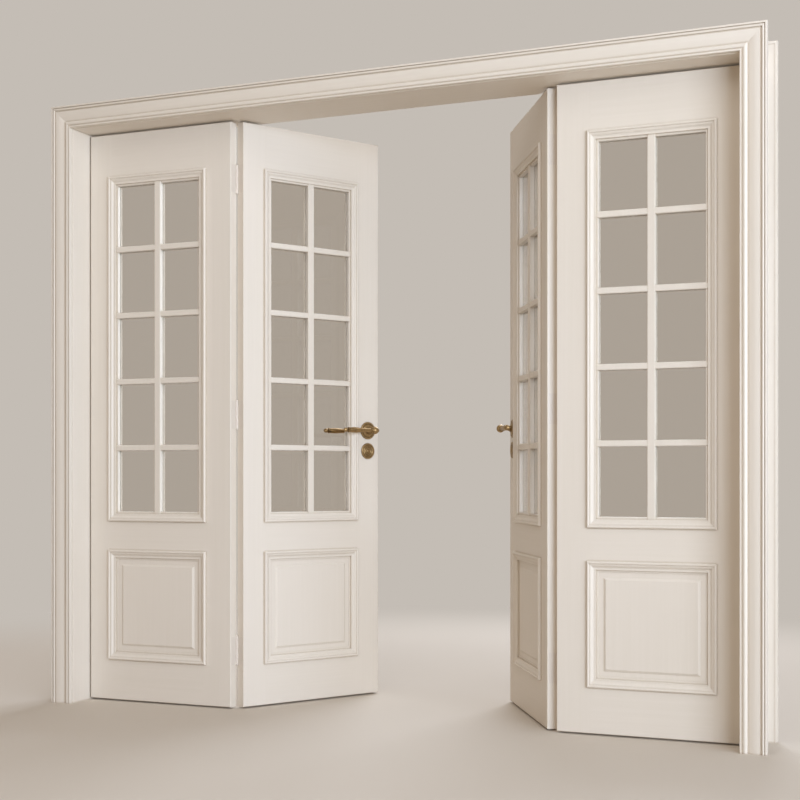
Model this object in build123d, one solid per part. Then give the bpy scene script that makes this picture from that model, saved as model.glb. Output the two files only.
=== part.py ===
from build123d import *
import os
from math import atan, cos, degrees, radians

# Interior french doors: four glazed leaves, hinged together in pairs and hung in a lining with
# a moulded casing on each face. Millimetres. X runs along the wall to the right, Y through the
# wall to the back room, Z up. The origin is on the floor, midway between the jambs and halfway
# through the lining. The outer leaves stand shut and the inner ones are folded to the back.

# Leaves
LEAF_WIDTH = 600.0
LEAF_HEIGHT = 2100.0
LEAF_THICKNESS = 42.0
LEAF_SETBACK = 104.0        # front edge of the lining to the front face of a shut leaf
FOLD_ANGLE = 60.0           # of the inner leaves, as they stand
ARRIS_RADIUS = 3.0
JAMB_GAP = 4.0
FOLD_GAP = 3.0
MEETING_GAP = 4.0
HEAD_GAP = 7.0
FLOOR_GAP = 6.0

# Layout of a leaf's face: its flat margins, up to the outer edges of the raised mouldings
JAMB_MARGIN = 82.0          # outer leaf, at the jamb
OUTER_FOLD_MARGIN = 102.0   # outer leaf, at the fold
INNER_FOLD_MARGIN = 86.0    # inner leaf, at the fold
MEETING_MARGIN = 98.0       # inner leaf, at its meeting edge
TOP_MARGIN = 158.0
MIDDLE_MARGIN = 106.0
BOTTOM_MARGIN = 148.0
PANEL_FRAME_HEIGHT = 408.0  # over the mouldings round the panel; the glazing takes the rest

# Joinery
TENON_LENGTH = 25.0
TENON_THICKNESS = 12.0
TENON_SHOULDER = 22.0
TENON_PLAY = 0.2
GROOVE_DEPTH = 10.0
GROOVE_WIDTH = 10.0
PANEL_PLAY = 0.2            # tongue to the sides of its groove
PANEL_MOVEMENT = 0.8        # panel to the members round it, for its swelling

# Raised mouldings on the leaves
MOULDING_WIDTH = 36.0
MOULDING_PROUD = 11.0
MOULDING_COVER = 12.0       # flange that laps over the stile or rail
MOULDING_BEAD = 9.0         # width of its outer bead
MOULDING_QUIRK = 1.0        # bead to its ogee
MOULDING_BOW = 0.9          # how far each half of the ogee bows
MOULDING_FILLET = 4.5       # flat strip inside the ogee
MOULDING_EDGE = 0.5         # how far that strip stands above the face of the leaf
LIP_WIDTH = 7.5
LIP_DEPTH = 6.0
LIP_CHAMFER = 0.8

# Panel
PANEL_SETBACK = 7.5         # face of the leaf to the flat margin of the panel
FIELD_INSET = 60.5          # outer edge of the moulding to the flat of the field
FIELD_RAISE = 5.0
FIELD_BEVEL = 8.0

# Glazing
COLUMNS = 2
ROWS = 5
GLASS_THICKNESS = 4.0
GLASS_EDGE_PLAY = 0.8
UPRIGHT_BAR = 26.0
CROSS_BAR = 20.0
UPRIGHT_BAR_SETBACK = 3.0
CROSS_BAR_SETBACK = 4.0
BAR_CHAMFER = 2.0
BAR_WEB = 6.0

# Lining
LINING_DEPTH = 200.0
LINING_THICKNESS = 30.0
LINING_ARRIS = 2.0
HEAD_HOUSING = 12.0

# Casing
CASING_WIDTH = 82.0
CASING_THICKNESS = 20.0
CASING_MARGIN = 2.0         # strip of the lining's edge left bare inside the casing
CASING_FILLET = 5.0         # width of the flat strip along its inner edge
CASING_QUIRK = 3.5          # width of the groove between that strip and the inner bead
CASING_BEAD = 15.0          # width of the inner bead
CASING_BAND = 21.0          # width of the outer groove, bead and fillet
CASING_RELIEF = 2.0         # depth of the hollow in its back

# Hinges
HINGES_PER_LINE = 3
HINGE_HEIGHT = 100.0
HINGE_END = 200.0           # end of the leaf to the middle of the end hinges
PLATE_WIDTH = 30.0
PLATE_THICKNESS = 2.5
KNUCKLES = 5
KNUCKLE_RADIUS = 6.0
KNUCKLE_PLAY = 0.4
BARREL_CLEARANCE = 0.5
HINGE_WEB = 6.0             # thickness of the webs from the jamb plate to its knuckles
PIN_RADIUS = 3.0
PIN_BUTTON_RADIUS = 4.6
PIN_BUTTON_HEIGHT = 4.0
PIN_BUTTON_ROUND = 2.5
RUNNING_CLEARANCE = 0.05

# Lever handles
HANDLE_HEIGHT = 1003.0      # lever axis above the leaf's bottom edge
BACKSET = 50.0              # lever axis to the meeting edge
ROSE_RADIUS = 33.0
ROSE_THICKNESS = 9.5
ESCUTCHEON_RADIUS = 30.0
ESCUTCHEON_DROP = 78.0
ESCUTCHEON_BOSS = 7.0
LEVER_STAND = 46.0          # leaf's face to the axis of the grip
LEVER_LENGTH = 142.0
NECK_RADIUS = 8.0
NECK_CLEARANCE = 0.08
NECK_START = 1.0            # leaf's face to the inner end of the neck
COLLAR_GAP = 0.5            # rose to the lever's collar
GRIP_RADIUS = 10.3
KNOB_RADIUS = 14.5
SPINDLE_WIDTH = 8.0
SPINDLE_ENGAGEMENT = 12.0
SPINDLE_HOLE_RADIUS = 11.0

# Lock and strike
CASE_DEPTH = 82.0
CASE_TOP = 70.0             # above the lever axis
CASE_BOTTOM = 95.0          # below the lever axis
CASE_THICKNESS = 15.0
CASE_WALL = 2.0
FOREND_WIDTH = 24.0
FOREND_THICKNESS = 3.0
FOREND_OVERHANG = 15.0
HUB_RADIUS = 9.5
HUB_CLEARANCE = 0.5
BOLT_THROW = 12.0
BOLT_LENGTH = 38.0
BOLT_HEIGHT = 20.0
BOLT_THICKNESS = 10.4
BOLT_NOSE = 2.0             # flat left at its tip and at the foot of its bevel
BOLT_CLEARANCE = 0.3
STRIKE_THICKNESS = 2.0
STRIKE_HEIGHT = 160.0
STRIKE_CLEARANCE = 2.0
STRIKE_POCKET = 14.0

# Worked out from the above
HALF_OPENING = 2 * LEAF_WIDTH + JAMB_GAP + FOLD_GAP + MEETING_GAP / 2
OPENING_HEIGHT = FLOOR_GAP + LEAF_HEIGHT + HEAD_GAP
LEAF_FRONT = -LINING_DEPTH / 2 + LEAF_SETBACK
MID_LEAF = LEAF_THICKNESS / 2
PANEL_TOP = BOTTOM_MARGIN + PANEL_FRAME_HEIGHT
GLAZING_BOTTOM = PANEL_TOP + MIDDLE_MARGIN
GLAZING_TOP = LEAF_HEIGHT - TOP_MARGIN
GLASS_SETBACK = (LEAF_THICKNESS - GLASS_THICKNESS) / 2
BARREL_RADIUS = KNUCKLE_RADIUS + BARREL_CLEARANCE     # room for the knuckles, and plate to pin
JAMB_PIN_INSET = BARREL_RADIUS - JAMB_GAP         # jamb edge of the leaf to the pin
HINGE_SPACING = (LEAF_HEIGHT - 2 * HINGE_END) / (HINGES_PER_LINE - 1)
HINGE_CENTRES = [HINGE_END + i * HINGE_SPACING for i in range(HINGES_PER_LINE)]

# Where the pins of the left pair of leaves stand, seen from above
LEAF_BACK = LEAF_FRONT + LEAF_THICKNESS
JAMB_PIN = (-HALF_OPENING + JAMB_GAP + JAMB_PIN_INSET, LEAF_BACK + BARREL_RADIUS)
FOLD_PIN = (-HALF_OPENING + JAMB_GAP + LEAF_WIDTH + FOLD_GAP / 2, LEAF_BACK)


def block(x0, x1, y0, y1, z0, z1):
    """Rectangular block between two corners."""
    return Pos(x0, y0, z0) * Box(x1 - x0, y1 - y0, z1 - z0, align=(Align.MIN,) * 3)


def outline(start, *steps):
    """Closed face from straight steps, each a point, and arcs, each (a point passed, an end)."""
    edges, here = [], start
    for step in steps:
        if isinstance(step[0], tuple):
            edges.append(ThreePointArc(here, step[0], step[1]))
            here = step[1]
        else:
            edges.append(Line(here, step))
            here = step
    edges.append(Line(here, start))
    return make_face(edges)


def turned(start, *steps):
    """Solid of revolution about Z from its half section, radius first and height second."""
    return revolve(Plane.XZ * outline(start, *steps), Axis.Z)


def mitred_length(section, length, start, end):
    """Moulding along Z, its inner edge on X = 0. Each end is cut square (0) or at 45 degrees,
    so that it grows by one for every one of X (1) or shrinks (-1)."""
    reach = 2 * max(CASING_WIDTH, MOULDING_WIDTH)
    blank = Pos(0, 0, -reach) * extrude(section, length + 2 * reach)
    corners = [
        (-reach, -reach, start * reach),
        (reach, -reach, -start * reach),
        (reach, -reach, length + end * reach),
        (-reach, -reach, length - end * reach),
    ]
    keep = extrude(make_face(Polyline(*corners, close=True)), 2 * reach, dir=(0, 1, 0))
    return blank & keep


def mitred_frame(section, width, height):
    """Four mitred lengths round a rectangle, with the section's X = 0 along its outer edge."""
    upright = mitred_length(section, height, -1, -1)
    bottom = Pos(width, 0, 0) * Rot(0, -90, 0) * mitred_length(section, width, -1, -1)
    top = Pos(0, 0, height) * mirror(bottom, about=Plane.XY)
    far_upright = Pos(width, 0, 0) * mirror(upright, about=Plane.YZ)
    return [upright, far_upright, bottom, top]


def to_back(shape):
    """The same shape on the back face of a leaf."""
    return Pos(0, LEAF_THICKNESS, 0) * mirror(shape, about=Plane.XZ)


def leaf_moulding_section(seat):
    """Bolection moulding: X inward from its outer edge, Y into the leaf, down to its seat."""
    proud, bead, lip = MOULDING_PROUD, MOULDING_BEAD, MOULDING_WIDTH - LIP_WIDTH
    start, end = bead + MOULDING_QUIRK, lip - MOULDING_FILLET
    top, foot = 4 - proud, -MOULDING_EDGE
    middle, level = (start + end) / 2, (top + foot) / 2
    aside, out = 0.4 * MOULDING_BOW, 0.9 * MOULDING_BOW
    return outline(
        (0, 0),
        (0, 5 - proud),
        ((bead / 2, -proud), (bead, 3 - proud)),
        (bead, top),
        (start, top),
        (((start + middle) / 2 + aside, (top + level) / 2 - out), (middle, level)),
        (((middle + end) / 2 - aside, (level + foot) / 2 + out), (end, foot)),
        (lip, foot),
        (lip, LIP_DEPTH),
        (MOULDING_WIDTH - LIP_CHAMFER, LIP_DEPTH),
        (MOULDING_WIDTH, LIP_DEPTH + LIP_CHAMFER),
        (MOULDING_WIDTH, seat),
        (MOULDING_COVER, seat),
        (MOULDING_COVER, 0),
    )


def casing_section():
    """Casing: X outward from its inner edge, Y from the wall's face towards the room."""
    thick, band = CASING_THICKNESS, CASING_WIDTH - CASING_BAND
    strip, bead = CASING_FILLET, CASING_FILLET + CASING_QUIRK
    hollow = bead + CASING_BEAD
    seat = LINING_THICKNESS - CASING_MARGIN
    return outline(
        (0, 0),
        (0, 3.5 - thick),
        (1.5, 2 - thick),
        (strip, 2 - thick),
        (strip, 6.5 - thick),
        (bead, 6.5 - thick),
        ((bead + CASING_BEAD / 2, 2.5 - thick), (hollow, 10.5 - thick)),
        (hollow, 12 - thick),
        (hollow + 1.5, 12 - thick),
        (((hollow + band) / 2, 5.2 - thick), (band, 3 - thick)),
        (band + 0.5, 6 - thick),
        (band + 4.5, 6 - thick),
        (band + 5, 3 - thick),
        ((band + 9, -thick), (band + 13, 3 - thick)),
        (band + 13, 4.5 - thick),
        (band + 14.5, 4.5 - thick),
        (band + 14.5, 1 - thick),
        (band + 15.5, -thick),
        (CASING_WIDTH - 1.5, -thick),
        (CASING_WIDTH, 1.5 - thick),
        (CASING_WIDTH, 0),
        (CASING_WIDTH - 8, 0),
        (CASING_WIDTH - 8, -CASING_RELIEF),
        (seat + 4, -CASING_RELIEF),
        (seat + 4, 0),
    )


def casing():
    """Left leg, right leg and head of the casing on the front of the lining."""
    inner = HALF_OPENING + CASING_MARGIN
    height = OPENING_HEIGHT + CASING_MARGIN
    face = -LINING_DEPTH / 2
    right = Pos(inner, face, 0) * mitred_length(casing_section(), height, 0, 1)
    head = mitred_length(casing_section(), 2 * inner, 1, 1)
    head = Pos(inner, face, height) * Rot(0, -90, 0) * head
    return {"left": mirror(right, about=Plane.YZ), "right": right, "head": head}


def lining():
    """Two jambs and the head, which is housed in them."""
    half, depth = HALF_OPENING, LINING_DEPTH / 2
    top = OPENING_HEIGHT + LINING_THICKNESS
    jamb = block(-half - LINING_THICKNESS, -half, -depth, depth, 0, top)
    inner_edges = jamb.edges().filter_by(Axis.Z).group_by(Axis.X)[-1]
    jamb = fillet(inner_edges, LINING_ARRIS)
    jamb -= block(-half - HEAD_HOUSING, -half, -depth, depth, OPENING_HEIGHT, top)
    head = block(-half - HEAD_HOUSING, half + HEAD_HOUSING, -depth, depth, OPENING_HEIGHT, top)
    head = fillet(head.edges().filter_by(Axis.X).group_by(Axis.Z)[0], LINING_ARRIS)
    for z in HINGE_CENTRES:
        jamb -= Pos(*JAMB_PIN, FLOOR_GAP + z) * jamb_plate()
    return {"left": jamb, "right": mirror(jamb, about=Plane.YZ), "head": head}


def jamb_plate():
    """Hinge plate let into the lining, seen from its pin on the Z axis."""
    face = -JAMB_GAP - JAMB_PIN_INSET
    front = -BARREL_RADIUS - PLATE_WIDTH
    half = HINGE_HEIGHT / 2
    return block(face - PLATE_THICKNESS, face, front, HINGE_WEB / 2, -half, half)


def leaf_plate(edge):
    """Hinge plate let into the edge of the leaf on the +X side, that edge at X = edge."""
    front, half = -BARREL_RADIUS - PLATE_WIDTH, HINGE_HEIGHT / 2
    return block(edge, edge + PLATE_THICKNESS, front, -BARREL_RADIUS, -half, half)


def with_knuckles(plate, first, web_x, web_y):
    """Hinge half: a plate with every second knuckle from the given one, on webs."""
    pitch = HINGE_HEIGHT / KNUCKLES
    half = (pitch - KNUCKLE_PLAY) / 2
    knuckle = Cylinder(KNUCKLE_RADIUS, 2 * half) + block(*web_x, *web_y, -half, half)
    knuckle -= Cylinder(PIN_RADIUS + RUNNING_CLEARANCE, pitch)
    for i in range(first, KNUCKLES, 2):
        plate += Pos(0, 0, (i - (KNUCKLES - 1) / 2) * pitch) * knuckle
    return plate


def leaf_half(edge, first):
    """Hinge half of the leaf on the +X side, whose edge is at X = edge."""
    web_x, web_y = (edge, edge + PLATE_THICKNESS), (-BARREL_RADIUS, 0)
    return with_knuckles(leaf_plate(edge), first, web_x, web_y)


def hinge_pin():
    """Pin with a rounded button on each end."""
    neck = (HINGE_HEIGHT - KNUCKLE_PLAY) / 2
    end, flat = neck + PIN_BUTTON_HEIGHT, PIN_BUTTON_RADIUS - PIN_BUTTON_ROUND
    shoulder = end - PIN_BUTTON_ROUND
    through = PIN_BUTTON_ROUND * (1 - cos(radians(45)))
    return turned(
        (0, -end),
        (flat, -end),
        ((PIN_BUTTON_RADIUS - through, -end + through), (PIN_BUTTON_RADIUS, -shoulder)),
        (PIN_BUTTON_RADIUS, -neck),
        (PIN_RADIUS, -neck),
        (PIN_RADIUS, neck),
        (PIN_BUTTON_RADIUS, neck),
        (PIN_BUTTON_RADIUS, shoulder),
        ((PIN_BUTTON_RADIUS - through, end - through), (flat, end)),
        (0, end),
    )


def hinge_line(pin, carrier_half, swinging_half):
    """The hinges of one line: the halves and pins on the carrier, and the halves that swing."""
    places = [Pos(*pin, FLOOR_GAP + z) for z in HINGE_CENTRES]
    carried = [place * piece for place in places for piece in (carrier_half, hinge_pin())]
    return carried, [place * swinging_half for place in places]


def jamb_hinges():
    """Hinges between the left jamb and the outer leaf, both shut."""
    jamb_face = -JAMB_GAP - JAMB_PIN_INSET
    web_x, web_y = (jamb_face, -PIN_RADIUS), (-HINGE_WEB / 2, HINGE_WEB / 2)
    jamb_half = with_knuckles(jamb_plate(), 0, web_x, web_y)
    return hinge_line(JAMB_PIN, jamb_half, leaf_half(-JAMB_PIN_INSET, 1))


def fold_hinges():
    """Hinges between the outer and the inner leaf, both shut."""
    outer_half = mirror(leaf_half(FOLD_GAP / 2, 0), about=Plane.YZ)
    return hinge_line(FOLD_PIN, outer_half, leaf_half(FOLD_GAP / 2, 1))


def bar_section(width, setback):
    """Glazing bar in front of the glass: X across, Y into the leaf."""
    half, chamfer = width / 2, BAR_CHAMFER
    return outline(
        (-half, GLASS_SETBACK),
        (-half, setback + chamfer),
        (-half + chamfer, setback),
        (half - chamfer, setback),
        (half, setback + chamfer),
        (half, GLASS_SETBACK),
    )


def glazing(left, right):
    """Front bars with the webs between the panes, back bars, and the panes."""
    glass_left, glass_right = left + MOULDING_WIDTH, right - MOULDING_WIDTH
    glass_bottom, glass_top = GLAZING_BOTTOM + MOULDING_WIDTH, GLAZING_TOP - MOULDING_WIDTH
    lip = MOULDING_WIDTH - LIP_WIDTH
    cover = MOULDING_COVER + GLASS_EDGE_PLAY
    pane_width = (glass_right - glass_left - (COLUMNS - 1) * UPRIGHT_BAR) / COLUMNS
    pane_height = (glass_top - glass_bottom - (ROWS - 1) * CROSS_BAR) / ROWS
    uprights = [glass_left + i * (pane_width + UPRIGHT_BAR) - UPRIGHT_BAR / 2
                for i in range(1, COLUMNS)]
    crosses = [glass_bottom + i * (pane_height + CROSS_BAR) - CROSS_BAR / 2
               for i in range(1, ROWS)]
    glass_back = GLASS_SETBACK + GLASS_THICKNESS

    upright_length, cross_length = GLAZING_TOP - GLAZING_BOTTOM - 2 * lip, right - left - 2 * lip
    upright = extrude(bar_section(UPRIGHT_BAR, UPRIGHT_BAR_SETBACK), upright_length)
    cross = Rot(0, -90, 0) * extrude(bar_section(CROSS_BAR, CROSS_BAR_SETBACK), cross_length)
    bars = [Pos(x, 0, GLAZING_BOTTOM + lip) * upright for x in uprights]
    bars += [Pos(right - lip, 0, z) * cross for z in crosses]
    lips = block(left, right, LIP_DEPTH, GLASS_SETBACK, GLAZING_BOTTOM, GLAZING_TOP)
    lips -= block(glass_left, glass_right, LIP_DEPTH, GLASS_SETBACK, glass_bottom, glass_top)
    grid = bars[0].fuse(*bars[1:]) - lips
    back_grid = to_back(grid)

    half_web = BAR_WEB / 2
    webs = [block(x - half_web, x + half_web, GLASS_SETBACK, glass_back,
                  GLAZING_BOTTOM + cover, GLAZING_TOP - cover) for x in uprights]
    webs += [block(left + cover, right - cover, GLASS_SETBACK, glass_back,
                   z - half_web, z + half_web) for z in crosses]
    grid = grid.fuse(*webs)

    columns = [left + cover] + uprights + [right - cover]
    rows = [GLAZING_BOTTOM + cover] + crosses + [GLAZING_TOP - cover]
    panes = []
    for i in range(COLUMNS):
        for j in range(ROWS):
            x0 = columns[i] + (half_web + GLASS_EDGE_PLAY if i > 0 else 0)
            x1 = columns[i + 1] - (half_web + GLASS_EDGE_PLAY if i < COLUMNS - 1 else 0)
            z0 = rows[j] + (half_web + GLASS_EDGE_PLAY if j > 0 else 0)
            z1 = rows[j + 1] - (half_web + GLASS_EDGE_PLAY if j < ROWS - 1 else 0)
            panes.append(block(x0, x1, GLASS_SETBACK, glass_back, z0, z1))
    return [grid, back_grid], panes


def raised_panel(left, right):
    """Panel with a tongue round its edge and a raised field on both faces."""
    margin = MOULDING_COVER + PANEL_MOVEMENT
    x0, x1 = left + margin, right - margin
    z0, z1 = BOTTOM_MARGIN + margin, PANEL_TOP - margin
    reach = GROOVE_DEPTH
    half = GROOVE_WIDTH / 2 - PANEL_PLAY
    panel = block(x0, x1, PANEL_SETBACK, LEAF_THICKNESS - PANEL_SETBACK, z0, z1)
    panel += block(x0 - reach, x1 + reach, MID_LEAF - half, MID_LEAF + half,
                   z0 - reach, z1 + reach)
    base = FIELD_INSET - FIELD_BEVEL
    width, height = right - left - 2 * base, PANEL_FRAME_HEIGHT - 2 * base
    centre = Pos((left + right) / 2, PANEL_SETBACK, (PANEL_TOP + BOTTOM_MARGIN) / 2)
    slope = degrees(atan(FIELD_BEVEL / FIELD_RAISE))
    field = extrude(Rectangle(width, height), FIELD_RAISE, taper=slope)
    field = centre * Rot(90, 0, 0) * field
    return panel + field + to_back(field)


def leaf(near_margin, far_margin):
    """One leaf lying shut, its near edge on X = 0 and its front face on Y = 0."""
    left, right = near_margin, LEAF_WIDTH - far_margin
    opening = (left + MOULDING_COVER, right - MOULDING_COVER)
    slab = block(0, LEAF_WIDTH, 0, LEAF_THICKNESS, 0, LEAF_HEIGHT)
    slab = fillet(slab.edges().filter_by(Axis.Z) + slab.edges().filter_by(Axis.X), ARRIS_RADIUS)

    rails = {
        "bottom_rail": (0, BOTTOM_MARGIN + MOULDING_COVER),
        "lock_rail": (PANEL_TOP - MOULDING_COVER, GLAZING_BOTTOM + MOULDING_COVER),
        "top_rail": (GLAZING_TOP - MOULDING_COVER, LEAF_HEIGHT),
    }
    groove = block(
        opening[0] - GROOVE_DEPTH, opening[1] + GROOVE_DEPTH,
        MID_LEAF - GROOVE_WIDTH / 2, MID_LEAF + GROOVE_WIDTH / 2,
        rails["bottom_rail"][1] - GROOVE_DEPTH, rails["lock_rail"][0] + GROOVE_DEPTH)
    near = slab & block(0, opening[0], 0, LEAF_THICKNESS, 0, LEAF_HEIGHT)
    far = slab & block(opening[1], LEAF_WIDTH, 0, LEAF_THICKNESS, 0, LEAF_HEIGHT)
    near, far = near - groove, far - groove

    parts = {}
    for name, (bottom, top) in rails.items():
        tenon = (opening[0] - TENON_LENGTH, opening[1] + TENON_LENGTH,
                 MID_LEAF - TENON_THICKNESS / 2, MID_LEAF + TENON_THICKNESS / 2,
                 bottom + TENON_SHOULDER, top - TENON_SHOULDER)
        grow = (-TENON_PLAY, TENON_PLAY) * 3
        mortise = block(*[at + by for at, by in zip(tenon, grow)])
        rail = slab & block(*opening, 0, LEAF_THICKNESS, bottom, top)
        parts[name] = [rail + block(*tenon) - groove]
        near, far = near - mortise, far - mortise
    parts["near_stile"], parts["far_stile"] = [near], [far]

    parts["raised_panel"] = [raised_panel(left, right)]
    parts["glazing_bars"], parts["glass_panes"] = glazing(left, right)
    fronts = []
    for seat, bottom, top in ((GLASS_SETBACK, GLAZING_BOTTOM, GLAZING_TOP),
                              (PANEL_SETBACK, BOTTOM_MARGIN, PANEL_TOP)):
        frame = mitred_frame(leaf_moulding_section(seat), right - left, top - bottom)
        fronts += [Pos(left, 0, bottom) * piece for piece in frame]
    parts["mouldings"] = fronts + [to_back(piece) for piece in fronts]
    return parts


def fold_pocket():
    """Room for a fold hinge in the edge of the leaf on the +X side: plate, webs and barrel."""
    half = HINGE_HEIGHT / 2
    webs = block(FOLD_GAP / 2, FOLD_GAP / 2 + PLATE_THICKNESS, -BARREL_RADIUS, 0, -half, half)
    barrel = Cylinder(BARREL_RADIUS, 2 * (half + PIN_BUTTON_HEIGHT + BARREL_CLEARANCE))
    return leaf_plate(FOLD_GAP / 2) + webs + barrel


def cut_pockets(part, pocket, pin_x, pin_y):
    """Cut the pockets of one hinge line into a stile that lies shut at the origin."""
    for z in HINGE_CENTRES:
        part -= Pos(pin_x, pin_y, z) * pocket
    return part


def rose():
    """Turned rose with the bearing of the lever's neck in its middle, standing on Z = 0."""
    bore, edge, top = NECK_RADIUS + NECK_CLEARANCE, ROSE_RADIUS, ROSE_THICKNESS
    return turned(
        (bore, 0),
        (edge, 0),
        (edge, 2),
        ((edge - 0.8, 4), (edge - 3, 4.6)),
        (edge - 6.5, 4.6),
        (edge - 7, 3.6),
        (edge - 8, 3.6),
        (edge - 8.5, 5),
        ((edge - 13, 7.4), (bore + 6.5, 7.6)),
        (bore + 5, 7.6),
        ((bore + 4.4, top - 0.6), (bore + 3, top)),
        (bore, top),
    )


def escutcheon():
    """Blank ringed escutcheon with a low boss, standing on Z = 0."""
    edge, boss = ESCUTCHEON_RADIUS, ESCUTCHEON_BOSS
    return turned(
        (0, 0),
        (edge, 0),
        (edge, 2),
        ((edge - 0.8, 4), (edge - 3, 4.6)),
        (edge - 6, 4.6),
        (edge - 6.5, 3.6),
        (edge - 7.5, 3.6),
        (edge - 8, 5.2),
        ((edge - 10.5, 6), (edge - 13, 5.2)),
        (edge - 13.5, 4),
        (edge - 15, 4),
        (edge - 15.5, 5.6),
        ((edge - 18, 6.4), (edge - 20.5, 5.6)),
        (edge - 21, 4.6),
        (edge - 22, 4.6),
        ((edge - 23.2, boss - 0.5), (edge - 25.5, boss)),
        (0, boss),
    )


def lever():
    """Lever with its neck along Z, up from the leaf's face, and its grip along -X."""
    knob, grip, end = KNOB_RADIUS, GRIP_RADIUS, LEVER_LENGTH
    radius, collar = NECK_RADIUS, ROSE_THICKNESS + COLLAR_GAP
    neck = turned(
        (0, NECK_START),
        (radius, NECK_START),
        (radius, collar),
        (radius + 2.5, collar),
        ((radius + 3, collar + 1.5), (radius + 1.6, collar + 3)),
        ((radius - 1.2, (collar + LEVER_STAND) / 2 - 5), (radius + 1, LEVER_STAND - knob + 2)),
        (radius + 1, LEVER_STAND),
        (0, LEVER_STAND),
    )
    arm = turned(
        (0, -knob - 4),
        (3.5, -knob - 4),
        ((6.4, -knob - 2.5), (7.6, -knob + 0.6)),
        (7.6, -knob + 1.6),
        (9.6, -knob + 2.2),
        ((knob, -0.5), (10.6, knob - 4.6)),
        (8.6, knob - 4),
        (8.6, knob - 2.6),
        ((11.4, knob - 0.6), (8.8, knob + 1.4)),
        (7.4, knob + 2.2),
        ((0.78 * grip, 0.36 * end), (grip, 0.63 * end)),
        ((0.97 * grip, 0.72 * end), (8.4, end - 26)),
        (7.2, end - 25.4),
        (7.2, end - 24),
        ((10.2, end - 21.6), (7.4, end - 19.2)),
        (5.6, end - 18.4),
        (5.6, end - 16),
        ((8.2, end - 8), (4.0, end)),
        (0, end),
    )
    arm = Pos(0, 0, LEVER_STAND) * Rot(0, -90, 0) * arm
    half = SPINDLE_WIDTH / 2
    socket = block(-half, half, -half, half, 0, NECK_START + SPINDLE_ENGAGEMENT)
    return neck + arm - socket


def on_front(x, z):
    """Where a fitting that stands on Z = 0 sits on the front face of a leaf."""
    return Pos(x, 0, z) * Rot(90, 0, 0)


def handle_set():
    """Levers on their spindle, and the roses and escutcheons, on a shut inner leaf."""
    x, z = LEAF_WIDTH - BACKSET, HANDLE_HEIGHT
    front_lever = on_front(x, z) * lever()
    end = NECK_START + SPINDLE_ENGAGEMENT
    half = SPINDLE_WIDTH / 2
    spindle = block(x - half, x + half, -end, LEAF_THICKNESS + end, z - half, z + half)
    plates = [on_front(x, z) * rose(), on_front(x, z - ESCUTCHEON_DROP) * escutcheon()]
    return [front_lever, to_back(front_lever), spindle], plates + [to_back(p) for p in plates]


def follower_hub():
    """Hub in the lock case, on the square of the spindle."""
    x, z = LEAF_WIDTH - BACKSET, HANDLE_HEIGHT
    length = CASE_THICKNESS - 2 * CASE_WALL - 2 * HUB_CLEARANCE
    hub = Cylinder(HUB_RADIUS, length) - Box(SPINDLE_WIDTH, SPINDLE_WIDTH, length)
    return Pos(x, MID_LEAF, z) * Rot(90, 0, 0) * hub


def case_block(clearance):
    """Outside of the lock case, grown by a clearance."""
    back = LEAF_WIDTH - FOREND_THICKNESS
    half = CASE_THICKNESS / 2 + clearance
    return block(back - CASE_DEPTH - clearance, back, MID_LEAF - half, MID_LEAF + half,
                 HANDLE_HEIGHT - CASE_BOTTOM - clearance, HANDLE_HEIGHT + CASE_TOP + clearance)


def forend_block():
    """Forend plate, flush with the meeting edge of the leaf."""
    half = FOREND_WIDTH / 2
    return block(LEAF_WIDTH - FOREND_THICKNESS, LEAF_WIDTH, MID_LEAF - half, MID_LEAF + half,
                 HANDLE_HEIGHT - CASE_BOTTOM - FOREND_OVERHANG,
                 HANDLE_HEIGHT + CASE_TOP + FOREND_OVERHANG)


def bolt_block(start, end, clearance):
    """Stretch of the latch bolt's section between two distances from the meeting edge."""
    half_y, half_z = BOLT_THICKNESS / 2 + clearance, BOLT_HEIGHT / 2 + clearance
    return block(LEAF_WIDTH - end, LEAF_WIDTH - start, MID_LEAF - half_y, MID_LEAF + half_y,
                 HANDLE_HEIGHT - half_z, HANDLE_HEIGHT + half_z)


def spindle_bore(radius):
    """Hole for the spindle, right through a leaf."""
    bore = Rot(90, 0, 0) * Cylinder(radius, 3 * LEAF_THICKNESS)
    return Pos(LEAF_WIDTH - BACKSET, MID_LEAF, HANDLE_HEIGHT) * bore


def lock_case():
    """Mortise case and forend, hollow for the hub and the bolt."""
    back = LEAF_WIDTH - FOREND_THICKNESS
    half = CASE_THICKNESS / 2 - CASE_WALL
    case = case_block(0) - block(
        back - CASE_DEPTH + CASE_WALL, back, MID_LEAF - half, MID_LEAF + half,
        HANDLE_HEIGHT - CASE_BOTTOM + CASE_WALL, HANDLE_HEIGHT + CASE_TOP - CASE_WALL)
    case += forend_block()
    case -= bolt_block(0, FOREND_THICKNESS, BOLT_CLEARANCE)
    return case - spindle_bore(HUB_RADIUS + HUB_CLEARANCE)


def latch_bolt():
    """Latch bolt, thrown, with the bevel that meets the strike as the leaf shuts."""
    bolt = bolt_block(-BOLT_THROW, BOLT_LENGTH - BOLT_THROW, 0)
    tip, front = LEAF_WIDTH + BOLT_THROW, MID_LEAF - BOLT_THICKNESS / 2
    bevel = make_face(Polyline(
        (tip, front, 0),
        (tip, front + BOLT_THICKNESS - BOLT_NOSE, 0),
        (tip - BOLT_THROW + BOLT_NOSE, front, 0),
        close=True))
    height = HANDLE_HEIGHT - BOLT_HEIGHT / 2
    return bolt - Pos(0, 0, height) * extrude(bevel, BOLT_HEIGHT)


def strike_hole(depth):
    """Hole behind the strike for the latch bolt."""
    return bolt_block(0, depth, STRIKE_CLEARANCE)


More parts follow.
